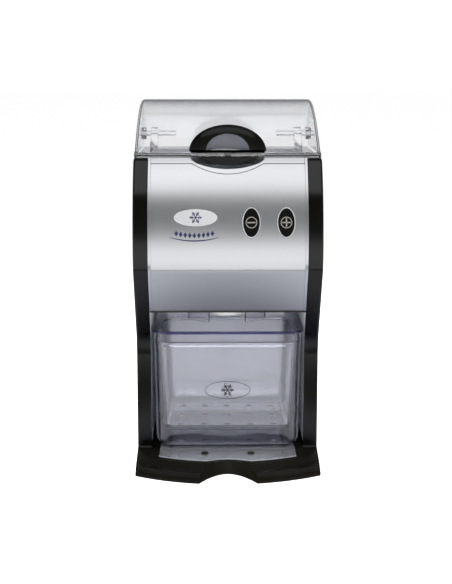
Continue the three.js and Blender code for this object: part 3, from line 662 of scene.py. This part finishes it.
def trim():
    """The strip between the seam and the lid, pressed in under the handle for the fingers."""
    half = INSIDE - RIM - GAP
    cy, cz, rx, ry, rz = SCOOP
    fine, rise, roof = 90, 22, 6
    wall = 2.2
    columns = [half * i / fine for i in range(-fine, fine + 1)]
    rows = []
    for k in range(rise + roof + 1):
        row = []
        for x in columns:
            low = seam_z(x, 0) + 0.1
            z = min(HEAD_TOP, low + (HEAD_TOP - low) * k / rise)
            y = face_y(z) + SKIN_SET
            if k > rise:
                y += (TRIM_REAR - y) * (k - rise) / roof
            inside = 1 - (x / rx) ** 2 - ((z - cz) / rz) ** 2
            if inside > 0:
                y = max(y, cy + ry * math.sqrt(inside))
            row.append((x, min(y, TRIM_REAR), z))
        rows.append(row)
    piece = softened(thickened(gridded("trim_strip", rows), wall), 0.35, 2, 50)
    show(piece, "housing", FINISH["silver_fascia"], "silver_fascia", "top_trim")


def button(sign):
    """An oval push button with a raised ring, and its sign in it."""
    x = BUTTON_X[sign]
    to_face = on_face(BUTTON_Z)
    back, front, mark_front = 6, -1.1, -1.4
    dish_radius, hoop_radius = 7.9, 6.95
    cap = pulled("cap", oval(x, 0, BUTTON_HALF, BUTTON_TALL), rounded(back, front, 0.9, 5), to_face)
    dish = pulled("dish", oval(x, 0, dish_radius, dish_radius), rounded(1, front - 0.1, 0.35, 3), to_face)
    piece = softened(joined(cap, dish), 0)
    piece.name = "button_cap_" + sign
    show(piece, "button_" + sign, FINISH["handle_black"], "handle_black", "button_" + sign)

    reach, thick = 4.9, 0.75
    strokes = [rectangle(x - reach, -thick, x + reach, thick)]
    if sign == "plus":
        strokes.append(rectangle(x - thick, -reach, x + thick, reach))
    marks = [pulled("stroke", line, [(front, 0), (mark_front, 0)], to_face) for line in strokes]
    hoop_section = ((front, 0), (mark_front, 0.1), (mark_front, 0.95), (front, 1.05))
    hoop = swept("hoop", oval(x, 0, hoop_radius, hoop_radius), hoop_section, to_face, ends=False)
    symbol = softened(joined(hoop, *marks), 0)
    symbol.name = "button_symbol_" + sign
    show(symbol, "button_" + sign, FINISH["light_print"], "handle_black")

    rim = 1.6
    section = (
        (2.4, 0), (-0.3, 0), (-0.7, 0.2), (-0.8, 0.6), (-0.7, 1.1), (-0.3, 1.3), (2.4, 1.3), (2.4, 0),
    )
    outline = oval(x, 0, BUTTON_HALF + rim, BUTTON_TALL + rim)
    bezel = softened(swept("bezel_ring_" + sign, outline, section, to_face, ends=False), 0)
    show(bezel, "housing", FINISH["badge"], "bright_steel", "bezel_" + sign)


def snowflake(name, place, size, thick, depth):
    """Six plain arms, each with two pairs of short branches."""
    bars = []
    for arm in range(6):
        turn = math.radians(60 * arm)
        lines = [(0, 0, size, 0)]
        for start, reach in ((0.45, 0.3), (0.7, 0.22)):
            for side in (-1, 1):
                end = size * (start + reach * 0.55)
                lines.append((size * start, 0, end, side * size * reach * 0.85))
        for u0, v0, u1, v1 in lines:
            along = Vector((u1 - u0, v1 - v0)).normalized() * thick
            step_u, step_v = -along.y / 2, along.x / 2
            corners = [
                (u0 - step_u, v0 - step_v), (u1 - step_u, v1 - step_v),
                (u1 + step_u, v1 + step_v), (u0 + step_u, v0 + step_v),
            ]
            turned = [
                (u * math.cos(turn) - v * math.sin(turn), u * math.sin(turn) + v * math.cos(turn))
                for u, v in corners
            ]
            bars.append(pulled(name, turned, [(0, 0), (-depth, 0)], place))
    piece = joined(*bars)
    piece.name = name
    return softened(piece, 0)


def badge():
    """An oval plate with a snowflake on it."""
    to_face = on_face(BADGE_Z)
    front = -1.1
    outline = oval(BADGE_X, 0, BADGE_HALF, BADGE_TALL)
    plate = softened(pulled("badge_oval", outline, rounded(-0.1, front, 0.4, 3), to_face), 0)
    show(plate, "housing", FINISH["badge"], "badge", "badge_plate")
    flake = snowflake("badge_flake", lambda s, u, v: to_face(s + front, u + BADGE_X, v), 7.6, 0.9, 0.08)
    show(flake, "housing", FINISH["blue_print"], "badge")


def badge_swoosh():
    """A curved line, thicker in the middle, with a row of small ice cubes on it."""
    to_face = on_face(PRINT_Z)
    centre_x, centre_z = BADGE_X - 1.5, 99
    steps = 40
    sag = arc(centre_x, centre_z, 103, -106.5, -73.5, steps)
    wide = [0.35 + 0.45 * math.sin(math.pi * i / steps) for i in range(steps + 1)]
    line = [(u, v + w) for (u, v), w in zip(sag, wide)] + [(u, v - w) for (u, v), w in zip(sag, wide)][::-1]
    swoosh = pulled("swoosh", line, [(0.2, 0), (0.08, 0)], to_face)
    cubes = []
    for u, v in arc(centre_x, centre_z, 96.6, -103, -77, 8):
        diamond = [(u - 2.3, v), (u, v - 3.5), (u + 2.3, v), (u, v + 3.5)]
        cubes.append(pulled("cube", diamond, [(0.2, 0), (0.06, 0)], to_face))
    piece = softened(joined(swoosh, *cubes), 0)
    piece.name = "badge_swoosh"
    show(piece, "housing", FINISH["blue_print"], "badge")


# ---- lid and handle -------------------------------------------------------------------------------------
def lid_profile():
    """The lid's outer line from its front edge over the top to its rear edge, in (y, z)."""
    front = curve((LID_FRONT_Y, LID_EDGE_Z), (144, LID_TOP_Z), (LID_TOP_Y, LID_TOP_Z), 110)
    rear = curve((LID_TOP_Y, LID_TOP_Z), (LID_REAR_Y, LID_TOP_Z), (LID_REAR_Y, 432), 36)
    return front + rear[1:] + [(LID_REAR_Y, 420), (LID_REAR_Y, HINGE_Z - 6)]


def lid_surface_z(y):
    """Height of the lid's outer surface at depth y, for its sloping front part."""
    line = lid_profile()
    for (y0, z0), (y1, z1) in zip(line, line[1:]):
        if y0 <= y <= y1:
            return z0 + (z1 - z0) * (y - y0) / max(1e-9, y1 - y0)
    return LID_EDGE_Z


def lid_shell():
    """The thin curved shell, its shoulders rounded and its rear corners round about the hinge."""
    line = lid_profile()
    shoulders = [math.radians(90 * i / 12) for i in range(13)]
    rows = []
    for (y, z), (inner_y, inner_z) in zip(line, offset(line, -1, closed=False)):
        step_y, step_z = inner_y - y, inner_z - z
        bottom = LID_EDGE_Z
        if y > HINGE_Y:
            bottom = HINGE_Z - math.sqrt(max(0, (LID_REAR_Y - HINGE_Y) ** 2 - (y - HINGE_Y) ** 2))
        limit = 0.7 * (z - LID_EDGE_Z)
        side = []
        for q in shoulders:
            drop = min(LID_ROUND * (1 - math.sin(q)), limit)
            x = LID_HALF - 0.9 * LID_ROUND * (1 - math.cos(q))
            side.append((x, y + step_y * drop, z + step_z * drop))
        low = min(bottom, side[0][2])
        side.insert(0, (LID_HALF, y + step_y * min(LID_ROUND, limit), low))
        right = side + [(x, y, z) for x in (90, 60, 30, 0)]
        rows.append([(-px, py, pz) for px, py, pz in right] + right[::-1][1:])
    return thickened(gridded("lid_hood", rows), LID_WALL)


def lid_hood():
    """The clear lid: its shell, a bar along the front that is thin by the handle, and two hinge ears."""
    beside_handle, ear_radius, hole_radius = 45.3, 8, 3.3
    thin_bar = [(39.6, 391.9), (41.7, 391.9), (41.7, 396.4), (39.9, 396.4), (39, 395.4), (39, 392.7)]
    bar = [
        (39.6, 391.9), (47.2, 391.9), (47.5, 393), (47.5, 395.6), (46.8, 396.4), (39.9, 396.4), (39, 395.4),
        (39, 392.7),
    ]
    piece = lid_shell()
    others = []
    for sign in SIDES.values():
        stations = [(sign * beside_handle, 0), (sign * 113.2, 0), (sign * 113.5, 0.4)]
        others.append(pulled("bar", bar, stations, "x"))
        stations = [(sign * 4.0, 0.3), (sign * 4.4, 0), (sign * beside_handle, 0)]
        others.append(pulled("bar_front", thin_bar, stations, "x"))
        outline = oval(HINGE_Y, HINGE_Z, ear_radius, ear_radius, 40)
        ear = pulled("ear", outline, rounded(sign * 108, sign * 112, 0.5, 3), "x")
        outline = oval(HINGE_Y, HINGE_Z, hole_radius, hole_radius, 32)
        hole = pulled("hole", outline, [(sign * 100, 0), (sign * 120, 0)], "x")
        others.append(cut(ear, [hole]))
    joined(piece, *others)
    softened(piece, 0.45, 3, 38)
    show(piece, "lid", FINISH["clear_hood"], "clear_plastic", "lid_shell")


def handle_dome():
    """A dome that is steep in front and long behind, and rests on the lid all round its edge."""
    turns, heights, clearance = 96, 26, 0.35
    loops = [[] for _ in range(heights + 1)]
    for i in range(turns):
        a = math.radians(360 * i / turns)
        deep = HANDLE_REAR if math.sin(a) > 0 else HANDLE_FRONT

        def surface(q):
            x = HANDLE_HALF * math.cos(a) * math.cos(q)
            y = HANDLE_Y + deep * math.sin(a) * math.cos(q)
            return x, y, HANDLE_Z + HANDLE_HIGH * math.sin(q)

        low, high = 0.0, math.radians(89)
        for _ in range(24):
            guess = (low + high) / 2
            x, y, z = surface(guess)
            if z < lid_surface_z(y) + clearance:
                low = guess
            else:
                high = guess
        for k in range(heights + 1):
            loops[k].append(surface(high + (math.radians(90) - high) * k / (heights + 0.01)))
    piece = lofted("handle_dome", loops)
    piece.data.materials.append(FINISH["handle_black"])
    return piece


def handle_cup_painted_reflection():
    """The hollow that is cut into the front of the dome, coloured grey as a painted reflection of the light
    in front.
    """
    cy, cz, rx, ry, rz = CUP
    loops = []
    for k in range(28):
        q = math.radians(89 * k / 27)
        outline = oval(0, cy, rx * math.cos(q), ry * math.cos(q), 72)
        loops.append([(x, y, cz + rz * math.sin(q)) for x, y in outline])
    piece = lofted("cup", loops)
    # the hollow's grey is a painted reflection, carried onto the dome by the cut
    piece.data.materials.append(FINISH["handle_cup_painted_reflection"])
    return piece


def handle():
    """The dome on the lid, a tongue under it in front, and the two necks that join them."""
    piece = cut(handle_dome(), [handle_cup_painted_reflection()])
    bend, spread = 66, 41.8  # radius and half angle of the tongue's round lower edge
    bottom = arc(0, 447.5, bend, 270 - spread, 270 + spread, 60)
    outline = [p for p in bottom if abs(p[0]) <= TONGUE_HALF]
    outline += [(TONGUE_HALF, HANDLE_Z), (-TONGUE_HALF, HANDLE_Z)]
    tongue = pulled("tongue", outline, rounded(42, 45, 0.6, 3), "y")
    necks = [
        pulled("neck", rectangle(44, 392.3, 48, 398.4), rounded(sign * 31, sign * 41, 0.5, 2), "x")
        for sign in SIDES.values()
    ]
    joined(piece, tongue, *necks)
    softened(piece, 0.5, 3, 40)
    show(piece, "lid", FINISH["handle_black"], "handle_black", "lid_handle")


# ---- container, basket, chute and hopper -----------------------------------------------------------------
def container():
    """The clear bin. Its rows are as rings() takes them: the outside going up, then the inside going down."""
    rows = [
        (21.3, 85, 58, 206, 16), (22, 87.4, 56, 207.6, 17.5), (24, 89.6, 54, 209, 19),
        (27, 90.8, 52.6, 209.7, 20), (31, 91.3, 52, 210, 20.5), (153, 93.3, 48, 214, 22),
        (156, 94.3, 46.5, 216, 23), (173, 94.3, 46, 216, 23),
        (173, 92.3, 48, 214, 21), (156, 92.3, 48.4, 214, 21), (153, 91.9, 49.4, 212.6, 20.6),
        (31, 89.9, 53.4, 208.6, 19.1), (27, 89.2, 54.2, 208.1, 18.4), (24.3, 87, 56, 207, 17),
        (23.4, 84, 60, 205, 15),
    ]
    piece = softened(lofted("ice_container", rings(rows)), 0.8, 3, 24)
    show(piece, "container", FINISH["clear_plastic"], "clear_plastic", "container_bin")

    inner, outer = (94.4, 45.9, 216.1, 23.1), (96.2, 43.5, 218, 26)
    rows = [(170, *inner), (170, *outer), (173, *outer), (173, *inner), (170, *inner)]
    rim = softened(lofted("container_rim", rings(rows), ends=False), 0.5, 3, 24)
    show(rim, "container", FINISH["clear_rim"], "clear_plastic")


def container_print():
    """An oval line with a snowflake in it, printed on the container's leaning front."""

    def to_front(s, u, v):
        z = MARK_Z + v
        return u, 52 - 4 * (z - 30) / 123 + s, z

    section = ((-0.02, 0), (-0.12, 0), (-0.12, 0.55), (-0.02, 0.55), (-0.02, 0))
    hoop = swept("print_hoop", oval(0, 0, 28.8, 11.6, 96), section, to_front, ends=False)
    flake = snowflake("flake", lambda s, u, v: to_front(s - 0.02, u, v), 8.2, 1.05, 0.1)
    piece = softened(joined(hoop, flake), 0)
    piece.name = "container_print"
    show(piece, "container", FINISH["grey_print"], "badge")


def basket():
    """The drain basket that hangs in the container by its rim. Its rows run as the container's do."""
    rows = [
        (40, 74, 66.5, 195.5, 9), (40.9, 77.2, 63.4, 198.8, 11), (43, 79.9, 61, 201.6, 13),
        (48, 82.3, 58.3, 204.2, 15.2), (156.3, 87.5, 53.5, 209.5, 18), (156.3, 91.4, 49.4, 213, 21),
        (158.3, 91.4, 49.4, 213, 21),
        (158.3, 85.5, 55.5, 207.5, 16), (48.5, 80.3, 60.3, 202.2, 13.2), (45, 77.9, 62.8, 199.8, 11.2),
        (43, 75, 65.6, 196.8, 9.4), (42.2, 72, 68.5, 193.8, 7),
    ]
    piece = lofted("ice_basket", rings(rows))
    drains = [
        pulled("drain", oval(x, y, 4, 4, 24), [(36, 0), (48, 0)], "z")
        for x in range(-60, 61, 30)
        for y in (88, 133, 178)
    ]
    cut(piece, [joined(*drains)])
    softened(piece, 0.6, 2, 24)
    show(piece, "basket", FINISH["clear_basket"], "clear_plastic", "drain_basket")


def chute():
    """The tube under the crusher, square at the top and round at its mouth, between two clear guards."""

    def tube(z, radius):
        return [(x, y, z) for x, y in oval(0, CHUTE_Y, radius, radius, 44)]

    outer_top, inner_top = rings([(225.7, 37, 93, 170, 10), (225.7, 34, 96, 167, 8)])
    loops = [tube(179, 22.5), tube(179, 25), tube(206, 26), outer_top, inner_top, tube(206, 24.5)]
    loops.append(loops[0])
    piece = softened(lofted("ice_chute", loops, ends=False), 0.8, 3, 40)
    show(piece, "housing", FINISH["white_plastic"], "white_plastic", "discharge_chute")
    for side, (start, end) in {"left": (190, 243), "right": (297, 350)}.items():
        outline = arc(0, CHUTE_Y, 52.5, start, end, 28) + arc(0, CHUTE_Y, 50, end, start, 28)
        guard = softened(pulled("chute_guard_" + side, outline, rounded(174.3, 199, 0.7, 3), "z"), 0)
        show(guard, "housing", FINISH["clear_basket"], "clear_plastic", "chute_skirt_" + side)


def funnel():
    """The hopper that leads ice from the whole top of the head to the rotor."""
    foot = (323.3, 34, 95, 165, 4)
    rows = [
        foot, (323.3, 36.5, 92.5, 167.5, 6), (334, 38.5, 91, 169, 8), (389, 90.5, 57.5, 192.5, 16),
        (389, 96.7, 54, 194.5, 1), (391.5, 96.7, 54, 194.5, 1), (391.5, 87.5, 60, 190, 14),
        (388, 86, 61, 189, 13), (333, 35.5, 93.5, 166.5, 6), foot,
    ]
    piece = softened(lofted("hopper_funnel", rings(rows), ends=False), 0.8, 3, 24)
    show(piece, "housing", FINISH["grey_plastic"], "grey_plastic", "hopper")


# ---- carried nodes ------------------------------------------------------------------------------------
CARRIED = {
    "black_gloss": ["rear_cover"],
    "black_rubber": [
        "foot_front_left", "foot_front_right", "foot_rear_left", "foot_rear_right", "plate_pad_left",
        "plate_pad_right", "mains_inlet", "switch_minus", "switch_plus", "lid_sensor", "motor_fan",
    ],
    "sheet_metal": ["bottom_plate", "gear_plate"],
    "drip_steel": ["drip_plate", "head_floor"],
    "bright_steel": [
        "rear_screw_1", "rear_screw_2", "rear_screw_3", "rear_screw_4", "fixed_comb",
        "bearing_front", "bearing_rear", "rotor_shaft", "motor_shaft",
    ],
    "grey_plastic": ["inner_wall_left", "inner_wall_right", "bay_back_wall"],
    "silver_fascia": ["head_frame"],
    "clear_bracket": ["hinge_bracket_left", "hinge_bracket_right", "hinge_pin_left", "hinge_pin_right"],
    "cast_metal": ["crusher_housing", "motor_bell_front", "motor_bell_rear"],
    "motor_iron": ["motor_stator", "lid_magnet"],
    "white_plastic": ["drive_gear", "motor_capacitor"],
    "brass": ["motor_pinion"],
    "circuit_board": ["switch_board"],
}


def dress_carried_nodes():
    """The nodes whose shape is right keep it: their edges are rounded, and they get a finish."""
    for finish, names in CARRIED.items():
        for name in names:
            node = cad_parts[name]
            node.data.materials.clear()
            node.data.materials.append(FINISH[finish])
            softened(node, 0.3, 2, 32)


# ---- stage --------------------------------------------------------------------------------------------
# Each row is an elevation in degrees, the light that comes from there, and how blue it is.
WALLS = [
    (-90, 1.0, 0), (-8, 1.1, 0), (4, 1.15, 0), (9, 0.9, 0), (15, 0.25, 0), (60, 0.22, 0), (90, 0.22, 0),
]
REFLECTED = [
    (-90, 0.04, 0.3), (-58, 0.05, 0.3), (-51, 0.24, 0.24), (-45, 0.82, 0.12), (-39, 0.86, 0.06),
    (-31, 0.34, 0), (-24, 0.26, 0), (-17, 1.15, 0), (-9, 1.34, 0), (-1, 1.2, 0), (5, 0.55, 0),
    (11, 0.2, 0), (36, 0.1, 0),
]
BACKDROP = [(-90, 1.0, 0), (6, 1.0, 0), (12, 0.25, 0), (36, 0.12, 0)]


def place_of(tree, kind="Object"):
    return tree.nodes.new("ShaderNodeTexCoord").outputs[kind]


def axis_of(tree, vector, axis):
    node = tree.nodes.new("ShaderNodeSeparateXYZ")
    tree.links.new(vector, node.inputs[0])
    return node.outputs[axis]


def vector_math(tree, operation, vector, other=(0, 0, 0)):
    node = tree.nodes.new("ShaderNodeVectorMath")
    node.operation = operation
    node.inputs[1].default_value = other
    tree.links.new(vector, node.inputs[0])
    return node.outputs["Value" if operation == "LENGTH" else "Vector"]


def by_elevation(tree, direction, table):
    """A colour that follows how high a direction points."""
    shade = tree.nodes.new("ShaderNodeValToRGB")
    stops = shade.color_ramp.elements
    for index, (elevation, light, blue) in enumerate(table):
        position = (math.sin(math.radians(elevation)) + 1) / 2
        stop = stops[index] if index < 2 else stops.new(position)
        stop.position = position
        stop.color = (light * (1 - blue), light * (1 - 0.8 * blue), light, 1)
    tree.links.new(span(tree, axis_of(tree, direction, "Z"), 0, 1, -1, 1), shade.inputs[0])
    return shade.outputs[0]


def floor():
    """A pale round floor that reaches the horizon and glows, most of all round the machine."""
    loops = [
        [(x, y, -FEET - 0.02) for x, y in oval(0, STAGE_Y, radius, radius, 72)]
        for radius in (0.5, 60, 400, 1200, 3000, 8000, 18000, 40000)
    ]
    piece = lofted("studio_floor", loops, ends=False)
    piece.data.shade_smooth()
    material = moulded(
        "studio_floor", (0.86, 0.86, 0.865), (0.88, 0.88, 0.885), (0.75, 0.9), 60, 0.01, patches=1.5
    )
    tree = material.node_tree
    node = tree.nodes["Principled BSDF"]
    node.inputs["Emission Color"].default_value = (1, 1, 1, 1)
    glow = span(tree, vector_math(tree, "LENGTH", place_of(tree)), 1.6, 0.82, 0.8, 1.8)
    tree.links.new(glow, node.inputs["Emission Strength"])
    piece.data.materials.append(material)


def studio_walls():
    """Light from all round: bright up to the horizon, and dim above it and to the sides."""
    world = bpy.data.worlds.new("studio")
    bpy.context.scene.world = world
    world.use_nodes = True
    tree = world.node_tree
    background = tree.nodes["Background"]
    direction = place_of(tree, "Generated")
    sideways = tree.nodes.new("ShaderNodeMath")
    sideways.operation = "ABSOLUTE"
    tree.links.new(axis_of(tree, direction, "X"), sideways.inputs[0])
    tree.links.new(span(tree, sideways.outputs[0], 1.0, 0.1, 0.4, 0.75), background.inputs["Strength"])
    tree.links.new(by_elevation(tree, direction, WALLS), background.inputs["Color"])


def reflector():
    """A bowl round the machine that only its glossy surfaces see, lit by height as a studio's screens are."""
    wide = 3000
    rim = EYE + wide * math.tan(math.radians(37))
    profile = [(20, 1), (300, 1), (1000, 1), (wide, 1), (wide, rim / 2), (wide, rim)]
    loops = [[(x, y, z - FEET) for x, y in oval(0, STAGE_Y, radius, radius, 96)] for radius, z in profile]
    bowl = lofted("reflector_bowl", loops, ends=False)
    material = bpy.data.materials.new("reflector_bowl")
    material.use_nodes = True
    tree = material.node_tree
    tree.nodes.remove(tree.nodes["Principled BSDF"])
    from_eye = vector_math(tree, "SUBTRACT", place_of(tree), (0, 0, EYE * MM))
    direction = vector_math(tree, "NORMALIZE", from_eye)
    blend = tree.nodes.new("ShaderNodeMix")
    blend.data_type = "RGBA"
    tree.links.new(span(tree, axis_of(tree, direction, "Y"), 0, 1, 0.2, 0.6), blend.inputs[0])
    tree.links.new(by_elevation(tree, direction, REFLECTED), blend.inputs[6])
    tree.links.new(by_elevation(tree, direction, BACKDROP), blend.inputs[7])
    glow = tree.nodes.new("ShaderNodeEmission")
    tree.links.new(blend.outputs[2], glow.inputs["Color"])
    tree.links.new(glow.outputs[0], tree.nodes["Material Output"].inputs["Surface"])
    bowl.data.materials.append(material)
    bowl.visible_camera = False
    bowl.visible_diffuse = False
    bowl.visible_transmission = False
    bowl.visible_shadow = False


def softbox(name, elevation, distance, width, height, radiance, reflected=True):
    """A rectangular light in front of the machine, facing it. Its distance and size are in metres."""
    lamp = bpy.data.lights.new(name, "AREA")
    lamp.shape = "RECTANGLE"
    lamp.size = width
    lamp.size_y = height
    lamp.energy = radiance * math.pi * width * height
    lamp_object = bpy.data.objects.new(name, lamp)
    bpy.context.scene.collection.objects.link(lamp_object)
    turn = math.radians(elevation)
    away = Vector((0, -math.cos(turn), math.sin(turn)))
    lamp_object.location = at(*AIM) + away * distance
    lamp_object.rotation_mode = "QUATERNION"
    lamp_object.rotation_quaternion = away.to_track_quat("Z", "Y")
    lamp_object.visible_camera = False
    lamp_object.visible_glossy = reflected


def camera():
    data = bpy.data.cameras.new("camera")
    data.lens = LENS
    data.sensor_width = 36
    data.clip_end = 100
    view = bpy.data.objects.new("camera", data)
    bpy.context.scene.collection.objects.link(view)
    view.location = at(*CAMERA)
    view.rotation_euler = (math.radians(90 - PITCH), 0, -math.radians(YAW))
    bpy.context.scene.camera = view


# ---- the whole machine --------------------------------------------------------------------------------
for side in SIDES:
    side_panel(side)
base_cover()
fascia()
shade_line_strip()
trim()
for sign in BUTTON_X:
    button(sign)
badge()
badge_swoosh()
lid_hood()
handle()
container()
container_print()
basket()
chute()
funnel()
dress_carried_nodes()

floor()
studio_walls()
softbox("overhead", 57.5, 3.2, 4.4, 1.85, 1.2)
softbox("top_fill", 70, 3.2, 3, 2, 1.2, reflected=False)
softbox("front_fill", 7, 3.4, 4.5, 1.1, 3.9, reflected=False)
reflector()
camera()

scene = bpy.context.scene
scene.view_settings.view_transform = "Standard"
scene.cycles.max_bounces = 32
scene.cycles.transmission_bounces = 32
